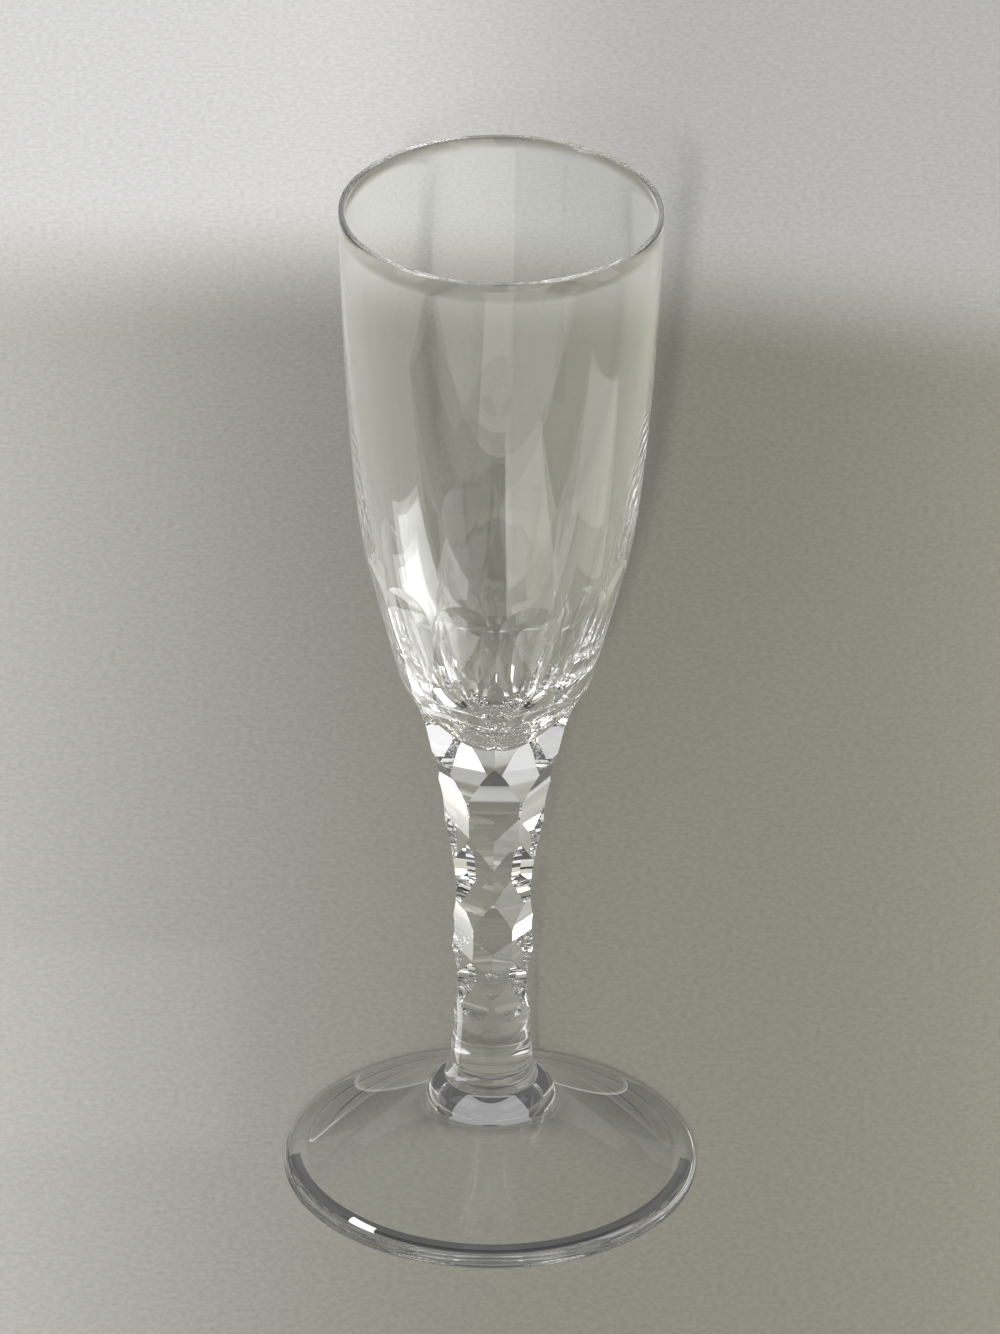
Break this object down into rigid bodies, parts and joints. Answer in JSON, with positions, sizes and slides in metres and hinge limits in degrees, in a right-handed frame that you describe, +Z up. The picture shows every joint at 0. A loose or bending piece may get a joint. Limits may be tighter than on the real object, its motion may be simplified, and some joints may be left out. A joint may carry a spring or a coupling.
{
  "type": "wine flute",
  "caption": "Stemmed clear crystal wine flute: tall narrow bowl, wheel-cut facets on its base and down the solid stem, a bead, and a round spread foot.",
  "frame": {"origin": "centre of the foot's underside, at the surface the glass stands on", "axes": "+Z up the axis of the glass from foot to rim; -Y towards the viewer of the picture; a corner between two large base facets faces -Y"},
  "size_m": [0.067, 0.067, 0.175],
  "materials": {
    "crystal": "polished"
  },
  "bodies": {
    "root": {"flute": "crystal"}
  },
  "joints": []
}
